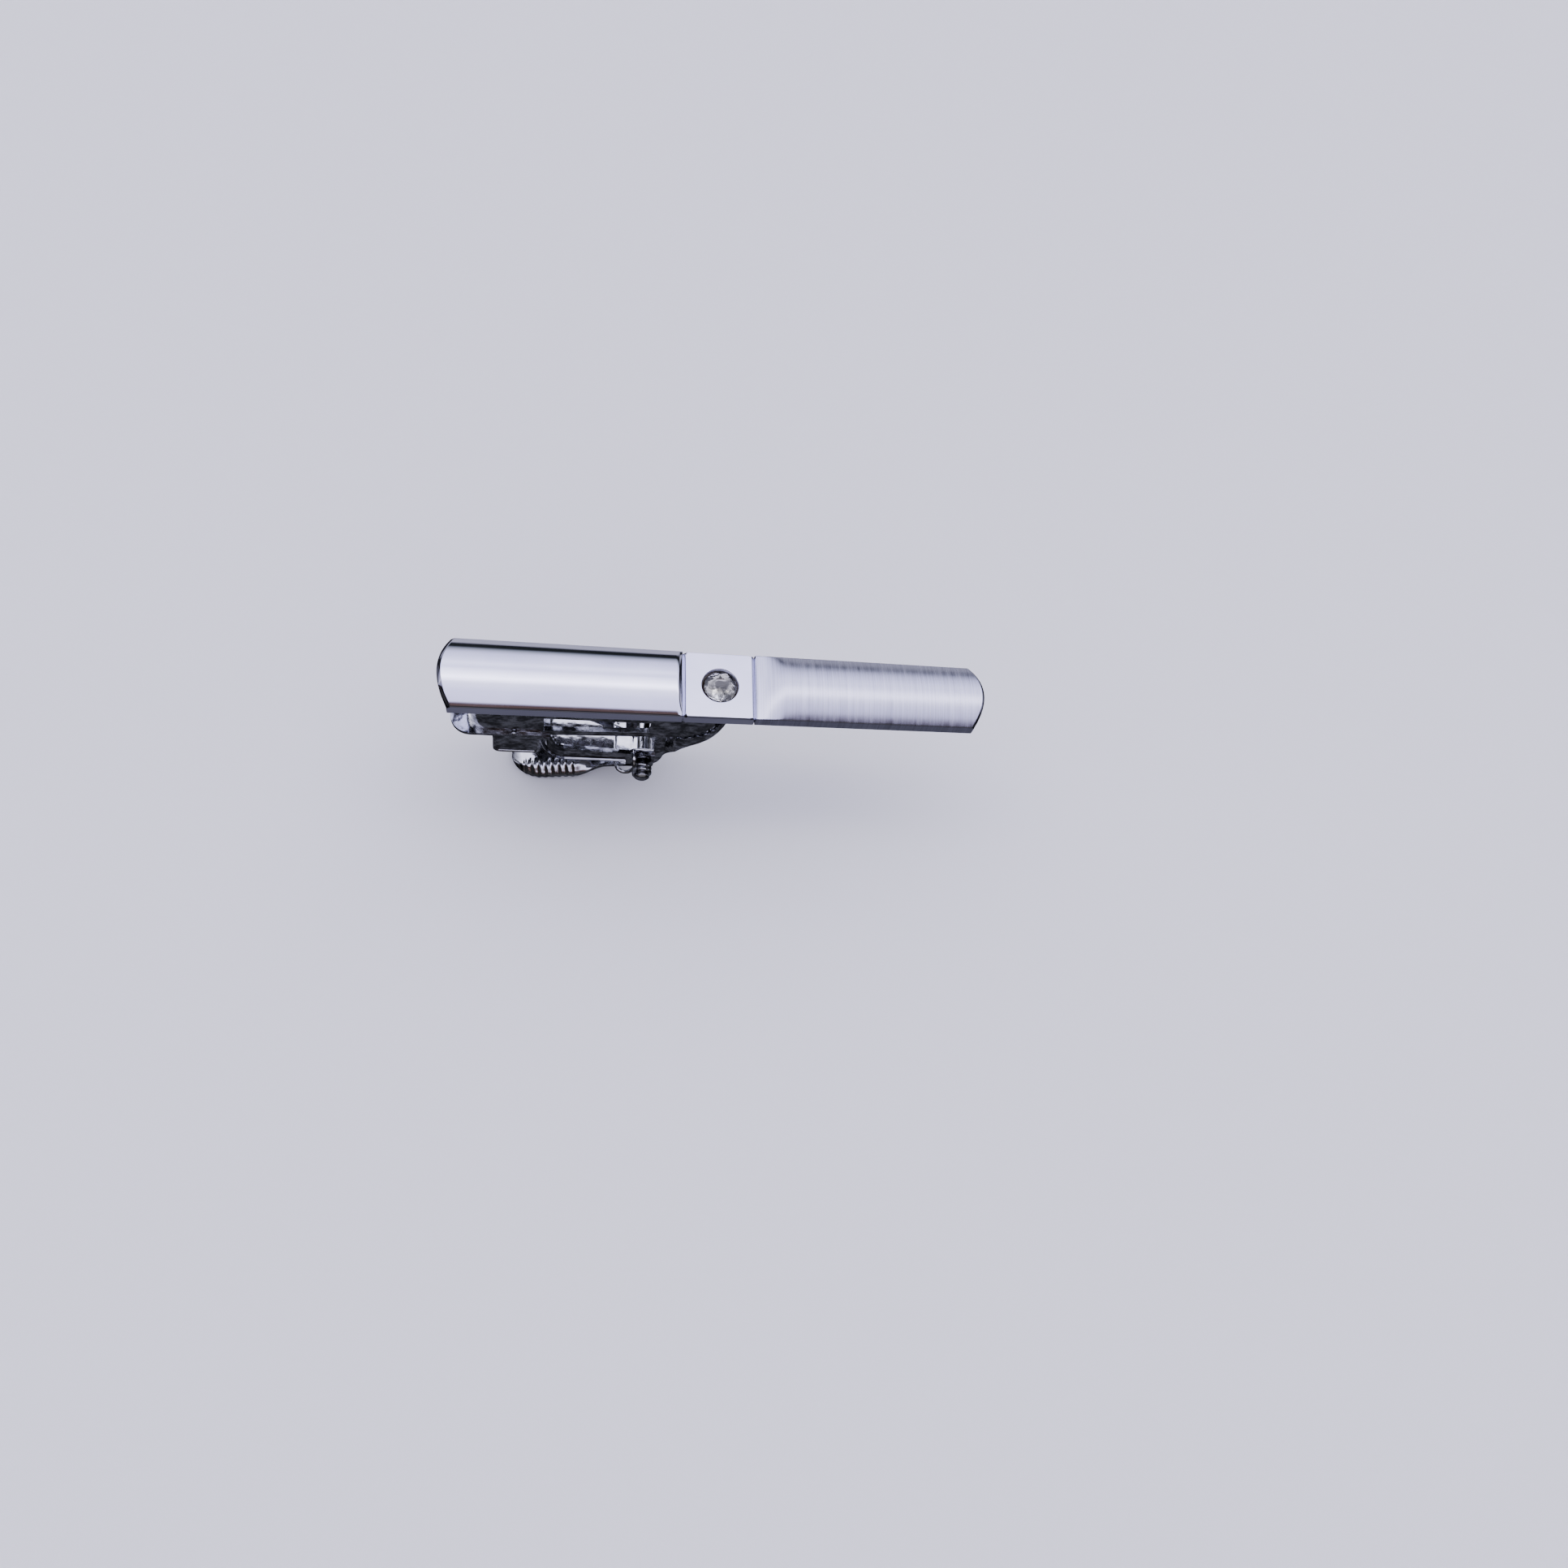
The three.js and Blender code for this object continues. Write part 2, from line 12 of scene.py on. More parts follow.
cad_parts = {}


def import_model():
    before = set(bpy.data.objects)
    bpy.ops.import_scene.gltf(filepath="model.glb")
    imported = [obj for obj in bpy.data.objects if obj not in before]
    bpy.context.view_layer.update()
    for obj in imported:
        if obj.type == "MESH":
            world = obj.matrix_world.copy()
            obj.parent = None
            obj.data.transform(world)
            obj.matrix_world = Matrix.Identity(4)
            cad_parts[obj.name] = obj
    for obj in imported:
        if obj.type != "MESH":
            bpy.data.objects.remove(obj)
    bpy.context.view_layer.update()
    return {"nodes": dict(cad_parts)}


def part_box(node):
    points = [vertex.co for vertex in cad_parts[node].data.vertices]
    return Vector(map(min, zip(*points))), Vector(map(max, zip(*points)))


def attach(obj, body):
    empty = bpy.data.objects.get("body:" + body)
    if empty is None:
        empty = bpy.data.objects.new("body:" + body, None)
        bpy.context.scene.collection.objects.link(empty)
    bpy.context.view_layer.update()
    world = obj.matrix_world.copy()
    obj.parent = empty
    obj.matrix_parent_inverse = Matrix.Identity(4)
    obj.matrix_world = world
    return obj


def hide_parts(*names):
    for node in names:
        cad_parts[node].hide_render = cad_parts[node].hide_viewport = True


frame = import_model()

MM = 0.001
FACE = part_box("centre_block")[1].z
PIVOT_X, PIVOT_Z = -4.9, -9.6


def at(x, y, z):
    """A place in the bar's frame, in metres."""
    return Vector((x * MM, y * MM, z * MM + FACE))


def box_mm(node):
    """The corners of a CAD node's box, in the bar's frame."""
    low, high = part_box(node)
    lift = Vector((0, 0, FACE))
    return (low - lift) / MM, (high - lift) / MM


def mix(a, b, t):
    return a + (b - a) * t


def smooth(t):
    t = min(1, max(0, t))
    return t * t * (3 - 2 * t)


# --- meshes ----------------------------------------------------------------------------------

def link(name, data):
    piece = bpy.data.objects.new(name, data)
    bpy.context.scene.collection.objects.link(piece)
    return piece


class Edit:
    """Opens a piece's mesh as a bmesh, and writes it back."""

    def __init__(self, piece):
        self.piece = piece

    def __enter__(self):
        self.mesh = bmesh.new()
        self.mesh.from_mesh(self.piece.data)
        return self.mesh

    def __exit__(self, *_):
        self.mesh.to_mesh(self.piece.data)
        self.mesh.free()


def build(name, verts, faces):
    """A mesh object with its faces turned outward."""
    mesh = bpy.data.meshes.new(name)
    mesh.from_pydata([tuple(v) for v in verts], [], faces)
    piece = link(name, mesh)
    with Edit(piece) as edit:
        bmesh.ops.recalc_face_normals(edit, faces=edit.faces)
    return piece


def loft(name, sections, closed_ends=True):
    """Skins a list of closed sections that have the same number of points."""
    count = len(sections[0])
    verts = [p for section in sections for p in section]
    faces = []
    for i in range(len(sections) - 1):
        for j in range(count):
            k = (j + 1) % count
            faces.append((i * count + j, i * count + k, (i + 1) * count + k, (i + 1) * count + j))
    if closed_ends:
        faces.append(tuple(reversed(range(count))))
        faces.append(tuple(range(len(verts) - count, len(verts))))
    return build(name, verts, faces)


def simplify(piece):
    """Merges doubles and dissolves the seams of flat faces."""
    with Edit(piece) as mesh:
        bmesh.ops.remove_doubles(mesh, verts=mesh.verts, dist=0.001 * MM)
        bmesh.ops.dissolve_limit(mesh, angle_limit=math.radians(0.6), verts=mesh.verts, edges=mesh.edges)
        bmesh.ops.recalc_face_normals(mesh, faces=mesh.faces)


def slice_up(piece, axis, places):
    """Cuts a piece's faces with planes across an axis, so that it can be bent."""
    normal = Vector([1 if i == axis else 0 for i in range(3)])
    with Edit(piece) as mesh:
        for place in places:
            everything = mesh.verts[:] + mesh.edges[:] + mesh.faces[:]
            bmesh.ops.bisect_plane(mesh, geom=everything, plane_co=normal * place, plane_no=normal)


def shade(piece, angle=180):
    mesh = piece.data
    mesh.polygons.foreach_set("use_smooth", [True] * len(mesh.polygons))
    mesh.set_sharp_from_angle(angle=math.radians(angle))


def bake(piece):
    """Applies every modifier of the piece."""
    graph = bpy.context.evaluated_depsgraph_get()
    graph.update()
    mesh = bpy.data.meshes.new_from_object(piece.evaluated_get(graph))
    piece.modifiers.clear()
    piece.data = mesh


def soften(piece, width, angle=24, segments=3):
    """Rounds the edges sharper than the angle; flat faces stay flat up to the rounding."""
    shade(piece)
    bevel = piece.modifiers.new("edges", "BEVEL")
    bevel.width = width * MM
    bevel.segments = segments
    bevel.limit_method = "ANGLE"
    bevel.angle_limit = math.radians(angle)
    bevel.use_clamp_overlap = True
    bevel.miter_outer = "MITER_ARC"
    weighted = piece.modifiers.new("shading", "WEIGHTED_NORMAL")
    weighted.keep_sharp = True
    bake(piece)


def wire(name, points, radius):
    """A round wire through the points."""
    curve = bpy.data.curves.new(name, "CURVE")
    curve.dimensions = "3D"
    curve.bevel_depth = radius * MM
    curve.bevel_resolution = 5
    curve.resolution_u = 6
    curve.use_fill_caps = True
    spline = curve.splines.new("BEZIER")
    spline.bezier_points.add(len(points) - 1)
    for handle, point in zip(spline.bezier_points, points):
        handle.co = at(*point)
        handle.handle_left_type = handle.handle_right_type = "AUTO"
    piece = link(name, curve)
    graph = bpy.context.evaluated_depsgraph_get()
    graph.update()
    mesh = bpy.data.meshes.new_from_object(piece.evaluated_get(graph))
    bpy.data.objects.remove(piece)
    piece = link(name, mesh)
    shade(piece, 50)
    return piece


# --- materials -------------------------------------------------------------------------------

class Nodes:
    """A material's node tree, with short calls for the nodes used here."""

    def __init__(self, name, **uniform):
        self.material = bpy.data.materials.new(name)
        self.material.use_nodes = True
        self.tree = self.material.node_tree
        self.shader = self.tree.nodes["Principled BSDF"]
        self.place = self.tree.nodes.new("ShaderNodeTexCoord")
        for socket, value in uniform.items():
            self.shader.inputs[socket.replace("_", " ")].default_value = value

    def join(self, source, target):
        self.tree.links.new(source, target)

    def noise(self, scale, stretch=(1, 1, 1), detail=3, roughness=0.5, turn=(0, 0, 0)):
        mapping = self.tree.nodes.new("ShaderNodeMapping")
        mapping.inputs["Scale"].default_value = stretch
        mapping.inputs["Rotation"].default_value = turn
        self.join(self.place.outputs["Object"], mapping.inputs["Vector"])
        node = self.tree.nodes.new("ShaderNodeTexNoise")
        node.inputs["Scale"].default_value = scale
        node.inputs["Detail"].default_value = detail
        node.inputs["Roughness"].default_value = roughness
        self.join(mapping.outputs["Vector"], node.inputs["Vector"])
        return node.outputs["Fac"]

    def span(self, source, low, high, start=0.3, end=0.7):
        node = self.tree.nodes.new("ShaderNodeMapRange")
        for socket, value in (("From Min", start), ("From Max", end), ("To Min", low), ("To Max", high)):
            node.inputs[socket].default_value = value
        self.join(source, node.inputs["Value"])
        return node.outputs["Result"]

    def upright(self):
        """0 where the surface faces up or down, 1 on the walls."""
        split = self.tree.nodes.new("ShaderNodeSeparateXYZ")
        self.join(self.place.outputs["Normal"], split.inputs["Vector"])
        size = self.tree.nodes.new("ShaderNodeMath")
        size.operation = "ABSOLUTE"
        self.join(split.outputs["Z"], size.inputs[0])
        return self.span(size.outputs[0], 1, 0, 0.2, 0.45)

    def pick(self, factor, first, second):
        """A number between two sources."""
        node = self.tree.nodes.new("ShaderNodeMix")
        node.data_type = "FLOAT"
        for socket, source in (("Factor", factor), ("A", first), ("B", second)):
            if isinstance(source, float):
                node.inputs[socket].default_value = source
            else:
                self.join(source, node.inputs[socket])
        return node.outputs["Result"]

    def blend(self, factor, first, second):
        """A colour between two."""
        node = self.tree.nodes.new("ShaderNodeMix")
        node.data_type = "RGBA"
        node.inputs["A"].default_value = (*first, 1)
        node.inputs["B"].default_value = (*second, 1)
        self.join(factor, node.inputs["Factor"])
        return node.outputs["Result"]

    def bump(self, layers):
        """Layers of (height, strength, distance in mm); each is added on the one before."""
        normal = None
        for height, strength, distance in layers:
            node = self.tree.nodes.new("ShaderNodeBump")
            node.inputs["Strength"].default_value = strength
            node.inputs["Distance"].default_value = distance * MM
            self.join(height, node.inputs["Height"])
            if normal:
                self.join(normal, node.inputs["Normal"])
            normal = node.outputs["Normal"]
        self.join(normal, self.shader.inputs["Normal"])

    def color(self, source):
        self.join(source, self.shader.inputs["Base Color"])

    def rough(self, source):
        self.join(source, self.shader.inputs["Roughness"])


def polished_plating():
    """Mirror plating with faint smudges and hairline marks along the bar; satin on the walls."""
    m = Nodes("polished_plating", Metallic=1.0)
    smudge = m.noise(260, (1, 1.6, 1), detail=4, roughness=0.6)
    m.color(m.blend(m.span(smudge, 0, 1), (0.70, 0.70, 0.87), (0.79, 0.79, 0.95)))
    m.rough(m.pick(m.upright(), m.span(smudge, 0.03, 0.075), 0.32))
    hairline = m.noise(420, (0.35, 22, 1), detail=2)
    ripple = m.noise(240, (0.7, 1, 1), detail=1)
    m.bump([(hairline, 0.10, 0.004), (ripple, 0.12, 0.02)])
    return m.material


def brushed_plating():
    """Satin plating, brushed straight across the bar."""
    m = Nodes("brushed_plating", Metallic=1.0)
    fine = m.noise(1300, (7, 0.10, 0.10), detail=4, roughness=0.65)
    broad = m.noise(420, (6, 0.18, 0.18), detail=3, roughness=0.6)
    line = m.pick(0.4, m.span(fine, 0.0, 1.0), m.span(broad, 0.0, 1.0))
    m.color(m.blend(line, (0.40, 0.40, 0.51), (0.70, 0.70, 0.86)))
    m.rough(m.pick(m.upright(), m.span(broad, 0.20, 0.30), 0.36))
    m.bump([(fine, 0.5, 0.006), (broad, 0.25, 0.010)])
    return m.material


def clasp_plating(name, walls, low, high):
    """Bright plating on a stamping, with shallow dents and scratches; its walls carry a painted dark mottled
    reflection.
    """
    m = Nodes(name, Metallic=1.0)
    mottle = m.noise(1700, detail=5, roughness=0.65)
    painted_dark_patches = m.noise(1500, (0.7, 1, 1), detail=4, roughness=0.7)
    dents = m.noise(800, detail=2)
    scratch = m.noise(900, (0.4, 9, 3), detail=3, turn=(0, 0, 0.35))
    # On the walls the colour is a painted reflection: mottling down to near black stands in for dark
    # surroundings mirrored there.
    tone = m.pick(m.upright(), m.span(mottle, 0.72, 0.95), m.span(painted_dark_patches, *walls, 0.42, 0.64))
    m.color(m.blend(tone, (0.02, 0.022, 0.025), (0.86, 0.87, 0.92)))
    m.rough(m.span(mottle, low, high))
    m.bump([(dents, 0.5, 0.06), (scratch, 0.15, 0.006), (mottle, 0.15, 0.012)])
    return m.material


def solder_metal():
    m = Nodes("solder", Metallic=1.0)
    grain = m.noise(2600, detail=5, roughness=0.7)
    m.color(m.blend(m.span(grain, 0, 1), (0.36, 0.36, 0.38), (0.56, 0.56, 0.57)))
    m.rough(m.span(grain, 0.35, 0.6))
    m.bump([(grain, 0.5, 0.04)])
    return m.material


def crystal_glass():
    """Clear cut glass with the faintest haze on its polish."""
    m = Nodes("crystal", Base_Color=(0.98, 0.98, 0.96, 1), IOR=1.56, Transmission_Weight=1.0)
    haze = m.noise(1800, detail=3)
    m.rough(m.span(haze, 0.0, 0.02))
    return m.material


def foil_mirror():
    """Silvered foil with near-black areas, a painted dark reflection that gives the stone its dark facets
    beside the bright ones.
    """
    m = Nodes("foil", Metallic=1.0)
    painted_dark_patches = m.noise(620, detail=1)
    # The near-black end of this blend is a painted dark reflection for the stone's dark facets.
    m.color(m.blend(m.span(painted_dark_patches, 0, 1, 0.46, 0.56), (0.02, 0.018, 0.016), (0.93, 0.91, 0.88)))
    m.rough(m.span(painted_dark_patches, 0.0, 0.03))
    return m.material


def seat_cement():
    """The brown cement that the stone is bedded in."""
    m = Nodes("cement", Roughness=0.35)
    tone = m.noise(2400, detail=3)
    m.color(m.blend(m.span(tone, 0, 1), (0.012, 0.007, 0.005), (0.05, 0.03, 0.022)))
    m.bump([(tone, 0.3, 0.02)])
    return m.material


POLISHED = polished_plating()
BRUSHED = brushed_plating()
# The first pair in each call sets how dark the painted wall reflections run.
CLASP = clasp_plating("clasp_plating", (0.02, 0.42), 0.05, 0.14)
LEVER = clasp_plating("lever_plating", (0.02, 0.50), 0.05, 0.14)
PIN = clasp_plating("pin_plating", (0.10, 0.70), 0.08, 0.2)
SPRING = clasp_plating("spring_wire", (0.25, 0.80), 0.07, 0.16)
SOLDER = solder_metal()
GLASS = crystal_glass()
FOIL = foil_mirror()
CEMENT = seat_cement()


def finish(piece, nodes, body, material):
    """Says what a piece stands for, what it rides on and what it is made of."""
    if nodes:
        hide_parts(*nodes)
    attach(piece, body)
    piece.data.materials.clear()
    piece.data.materials.append(material)


# --- bar -------------------------------------------------------------------------------------

BACK = box_mm("centre_block")[0].z
CROWN = box_mm("polished_half")[1].z
GROOVE_LEFT, GROOVE_RIGHT = box_mm("centre_block")[0].x, box_mm("centre_block")[1].x
END_BULGE = 0.85
BAR_HALF_LENGTH = -box_mm("polished_half")[0].x - END_BULGE
POLISHED_END, BRUSHED_END = box_mm("polished_half")[1].y, 2.6
GROOVE = 0.22
DOME_STEPS = 48
EDGE_ROUND = 0.05


def half_width(x):
    t = (x + BAR_HALF_LENGTH) / (2 * BAR_HALF_LENGTH)
    return mix(POLISHED_END, BRUSHED_END, t)


def domed_half(name, groove, direction, rise, bevel, stations):
    """One half, from its groove to its curved end.

    The dome's height at a distance from the groove is rise() times the crown, and the stations
    are the distances of the sections.
    """
    length = BAR_HALF_LENGTH - abs(groove)
    sections = []
    for distance in [0, *stations, length - bevel, length]:
        x = groove + direction * distance
        half = half_width(x)
        bulge = direction * END_BULGE * distance / length
        drop = {0: GROOVE, length: bevel * 0.9}.get(distance, 0)
        curve = [2 * i / DOME_STEPS - 1 for i in range(DOME_STEPS + 1)]
        top = [(s, CROWN * rise(distance) * (1 - s * s) - drop) for s in curve]
        section = [(-1, BACK), *top, (1, BACK)]
        sections.append([at(x + bulge * (1 - s * s), s * half, z) for s, z in section])
    piece = loft(name, sections)
    simplify(piece)
    soften(piece, EDGE_ROUND, angle=15)
    return piece


def polished_half():
    shoulder = 0.55
    stations = [0.03, 0.08, 0.15, 0.24, 0.35, 0.45, 0.55, *(1.0 + 1.5 * i for i in range(11))]
    return domed_half(
        "polished_front", GROOVE_LEFT, -1,
        lambda d: math.sqrt(1 - (1 - min(1, d / shoulder)) ** 2), 0.3, stations)


def brushed_half():
    run = 2.2
    stations = [0.08, 0.3, 0.42, 0.6, 0.85, 1.1, 1.4, 1.7, 2.0, 2.2, *(3.2 + 1.5 * i for i in range(9))]
    return domed_half(
        "brushed_front", GROOVE_RIGHT, 1,
        lambda d: 0.10 * smooth(d / 0.3) + 0.90 * smooth((d - 0.2) / run), 0.2, stations)


CRYSTAL_LOW, CRYSTAL_HIGH = box_mm("crystal")
CRYSTAL_X = (CRYSTAL_LOW.x + CRYSTAL_HIGH.x) / 2
STONE_RADIUS = CRYSTAL_HIGH.y - 0.06
STONE_SHIFT = 0.05                 # the stone is set slightly off the middle of its seat
HOLE_RADIUS = 1.4
HOLE_FLOOR = box_mm("crystal_foil")[0].z
HOLE_STEPS = 96
CEMENT_GAP = 0.005


def ring(radius, z, count, turn=0.0, shift=0.0):
    """Points round the seat's axis, or round an axis moved by shift along both X and Y."""
    angles = [2 * math.pi * (i + turn) / count for i in range(count)]
    return [at(CRYSTAL_X + shift + radius * math.cos(a), shift + radius * math.sin(a), z) for a in angles]


def centre_block():
    """A flat square with chamfered edges and a round seat, built as rings round the seat."""
    def square(left, right, inset, z):
        points = []
        for i in range(HOLE_STEPS):
            angle = 2 * math.pi * (i + 0.5) / HOLE_STEPS
            dx, dy = math.cos(angle), math.sin(angle)
            reach_x = ((right if dx > 0 else left) - CRYSTAL_X) / dx
            reach_y = (half_width(CRYSTAL_X) - inset) / abs(dy)
            x = CRYSTAL_X + dx * min(reach_x, reach_y)
            side = math.copysign(half_width(x) - inset, dy)
            points.append(at(x, side if reach_y < reach_x else dy * reach_x, z))
        return points

    edge = 0.06
    piece = loft("centre_front", [
        square(GROOVE_LEFT, GROOVE_RIGHT, 0, BACK),
        square(GROOVE_LEFT, GROOVE_RIGHT, 0, -GROOVE),
        square(GROOVE_LEFT + GROOVE, GROOVE_RIGHT - GROOVE, edge, 0),
        ring(HOLE_RADIUS + 0.04, 0, HOLE_STEPS, 0.5),
        ring(HOLE_RADIUS, -0.05, HOLE_STEPS, 0.5),
        ring(HOLE_RADIUS, HOLE_FLOOR, HOLE_STEPS, 0.5),
    ])
    simplify(piece)
    soften(piece, 0.03, segments=2)
    return piece


finish(polished_half(), ["polished_half"], "bar", POLISHED)
finish(centre_block(), ["centre_block"], "bar", POLISHED)
finish(brushed_half(), ["brushed_half"], "bar", BRUSHED)


# --- crystal ---------------------------------------------------------------------------------

GIRDLE = mix(CRYSTAL_LOW.z, CRYSTAL_HIGH.z, 0.66)
CULET = CRYSTAL_LOW.z + 0.02


def pavilion(lower):
    """The cone of facets behind the stone: its rim, a middle ring and the culet."""
    rim = ring(STONE_RADIUS, GIRDLE - 0.06 - lower, 16, 0, STONE_SHIFT)
    middle = ring(STONE_RADIUS * 0.5, mix(GIRDLE, CULET, 0.62) - lower, 8, 0.5, STONE_SHIFT)
    return rim + middle + [at(CRYSTAL_X + STONE_SHIFT, STONE_SHIFT, CULET - lower)]


def pavilion_faces(start):
    """Faces over the points of pavilion(), the first of which has the index start."""
    rim, middle, culet = start, start + 16, start + 24
    faces = []
    for i in range(8):
        j = (i + 1) % 8
        faces.append((rim + 2 * i, rim + 2 * i + 1, middle + i))
        faces.append((rim + 2 * i + 1, rim + (2 * i + 2) % 16, middle + i))
        faces.append((middle + i, rim + (2 * i + 2) % 16, middle + j))
        faces.append((middle + i, middle + j, culet))
    return faces


def cut_stone():
    """A round stone: an eight-sided table, star and kite facets, a girdle and a pavilion."""
    table = ring(STONE_RADIUS * 0.46, CRYSTAL_HIGH.z, 8, 0.5, STONE_SHIFT)
    kites = ring(STONE_RADIUS * 0.76, mix(GIRDLE, CRYSTAL_HIGH.z, 0.52), 8, 0, STONE_SHIFT)
    girdle = ring(STONE_RADIUS, GIRDLE, 16, 0, STONE_SHIFT)
    verts = table + kites + girdle + pavilion(0.0)
    first_kite, first_girdle, first_rim = 8, 16, 32
    faces = [tuple(range(8))]
    for i in range(8):
        j = (i + 1) % 8
        kite, next_kite = first_kite + i, first_kite + j
        middle = first_girdle + 2 * i + 1
        faces.append(((i - 1) % 8, kite, i))
        faces.append((i, kite, middle, next_kite))
        faces.append((kite, first_girdle + 2 * i, middle))
        faces.append((kite, first_girdle + (2 * i - 1) % 16, first_girdle + 2 * i))
    for i in range(16):
        j = (i + 1) % 16
        faces.append((first_girdle + i, first_rim + i, first_rim + j, first_girdle + j))
    return build("cut_stone", verts, faces + pavilion_faces(first_rim))


def foil_cup():
    """The silvered backing: facets against the stone's pavilion, flat underneath."""
    under = ring(STONE_RADIUS, HOLE_FLOOR, 16, 0, STONE_SHIFT)
    verts = pavilion(0.015) + under
    first = 25
    faces = [tuple(range(first, first + 16))]
    for i in range(16):
        j = (i + 1) % 16
        faces.append((i, j, first + j, first + i))
    return build("foil_cup", verts, faces + pavilion_faces(0))


finish(cut_stone(), ["crystal"], "bar", GLASS)
finish(foil_cup(), ["crystal_foil"], "bar", FOIL)


def cement_ring():
    """A collar of cement between the stone and the wall of its seat."""
    inner = STONE_RADIUS - 0.12
    outer = HOLE_RADIUS - CEMENT_GAP
    low, high = HOLE_FLOOR + 0.01, GIRDLE - 0.12
    steps = 64
    profile = ((inner, low), (outer, low), (outer, high),
               (mix(inner, outer, 0.5), high - 0.03), (inner, low + 0.1))
    sections = [ring(radius, z, steps) for radius, z in profile]
    piece = loft("cement_ring", [*sections, sections[0]], closed_ends=False)
    simplify(piece)
    shade(piece, 50)
    return piece


finish(cement_ring(), [], "bar", CEMENT)


# --- clasp -----------------------------------------------------------------------------------

SHEET = 0.4
SHEET_EDGE_ANGLE = 30              # edges sharper than this, in degrees, are rounded
BASE_RIM = box_mm("clasp_base")[0].z
LIP_INNER_Y = 2.45
LIP_REAR_X = -18.7
LIP_FALL = 0.06
CRADLE_FLOOR = box_mm("spring_cradle")[0].z
DISH = {"rear": -12.8, "front": -7.0, "half": 2.0, "depth": 0.5, "bow": 0.05, "most": 3.4}


def stamping(node, name, width, shape):
    """A copy of a CAD node, bent by shape() where one is given, with rounded edges."""
    piece = link(name, frame["nodes"][node].data.copy())
    simplify(piece)
    if shape:
        shape(piece)
    soften(piece, width, SHEET_EDGE_ANGLE)
    return piece


def move_points(piece, move):
    """Moves each point by what move() gives for it, in the bar's frame and in millimetres."""
    for vertex in piece.data.vertices:
        x, y, z = vertex.co.x / MM, vertex.co.y / MM, (vertex.co.z - FACE) / MM
        vertex.co += Vector(move(x, y, z)) * MM


def shape_base(piece):
    """Slopes the side lips a little, so that they fall outward."""
    def fall(x, y, z):
        on_lip = abs(z - BASE_RIM - SHEET) < 0.02 and abs(y) > LIP_INNER_Y and x > LIP_REAR_X
        return (0, 0, -LIP_FALL if on_lip else 0)
    move_points(piece, fall)


def shape_cradle(piece):
    """Dishes the cradle's floor a little, as drawing the sheet does."""
    slice_up(piece, 1, [(-1.8 + 0.4 * i) * MM for i in range(10)])

    def dish(x, y, z):
        low = z < CRADLE_FLOOR + DISH["depth"] and abs(y) < DISH["half"]
        on_floor = low and DISH["rear"] < x < DISH["front"]
        return (0, 0, DISH["bow"] * min(y * y, DISH["most"]) if on_floor else 0)
    move_points(piece, dish)


ARM = {"x": -6.1, "z": -11.3, "root": 0.5, "length": 9.25, "slope": math.atan2(1.7, 9.1)}
PAD = {"half": 2.4, "flare_from": 1.6, "flare_to": 4.2, "tip": 2.6, "drop": 0.4}
RIDGE = {"pitch": 0.55, "depth": 0.07, "from": 3.9, "to": 8.3}
NECK = 1.85


def thumb_pad():
    """The lever's arm: a narrow neck, then a wide pad with a ridged rim that turns from the bar."""
    def flare(along):
        return smooth((along - PAD["flare_from"]) / (PAD["flare_to"] - PAD["flare_from"]))

    def tip(along):
        return max(0, (along - ARM["length"] + PAD["tip"]) / PAD["tip"])

    def height(along, s):
        side = smooth((abs(s) - 0.5) / 0.7) * 1.4
        wave = math.sin(2 * math.pi * (along - RIDGE["from"]) / RIDGE["pitch"])
        fade = smooth((along - RIDGE["from"]) / 0.3) * smooth((RIDGE["to"] - along) / 0.3)
        fade *= smooth((abs(s) - 0.45) / 0.35)
        return RIDGE["depth"] * wave * fade - PAD["drop"] * flare(along) * max(side, tip(along) ** 2)

    steps, across = 170, 20
    slope = Matrix.Rotation(-ARM["slope"], 3, "Y")
    sections = []
    for i in range(steps + 1):
        t = i / steps
        along = mix(-ARM["root"], ARM["length"], 1 - (1 - t) ** 1.25)
        half = mix(NECK, PAD["half"], flare(along)) * math.sqrt(1 - 0.9 * tip(along) ** 2)
        line = [2 * j / across - 1 for j in range(across + 1)]
        upper = [Vector((-along, s * half, SHEET + height(along, s))) for s in line]
        lower = [Vector((-along, s * half, height(along, s))) for s in reversed(line)]
        sections.append([at(ARM["x"] + p.x, p.y, ARM["z"] + p.z) for p in (slope @ q for q in upper + lower)])
    piece = loft("thumb_pad", sections)
    soften(piece, 0.07, angle=50)
    return piece


def lever_body():
    """The lever ahead of its thumb pad: the web, the two ears and the lower jaw."""
    piece = link("lever_stamping", frame["nodes"]["lever"].data.copy())
    simplify(piece)
    with Edit(piece) as mesh:
        everything = mesh.verts[:] + mesh.edges[:] + mesh.faces[:]
        cut = bmesh.ops.bisect_plane(
            mesh, geom=everything, plane_co=at(ARM["x"] - 0.2, 0, 0), plane_no=(1, 0, 0), clear_inner=True)
        edges = [e for e in cut["geom_cut"] if isinstance(e, bmesh.types.BMEdge)]
        bmesh.ops.holes_fill(mesh, edges=edges, sides=0)
    soften(piece, 0.05, SHEET_EDGE_ANGLE)
    return piece


for node, name, slot, material, width, shape in (
        ("clasp_base", "base_stamping", "clasp_plating", CLASP, 0.10, shape_base),
        ("spring_cradle", "cradle_stamping", "clasp_plating", CLASP, 0.07, shape_cradle),
        ("pivot_pin", "turned_pin", "pin_plating", PIN, 0.04, None),
        ("cradle_rivet_lower", "rivet_lower", "clasp_plating", CLASP, 0.02, None),
        ("cradle_rivet_upper", "rivet_upper", "clasp_plating", CLASP, 0.02, None),
        ("solder_rear", "solder_joint_rear", "solder", SOLDER, 0.03, None),
        ("solder_front", "solder_joint_front", "solder", SOLDER, 0.03, None)):
    finish(stamping(node, name, width, shape), [node], "bar", material)

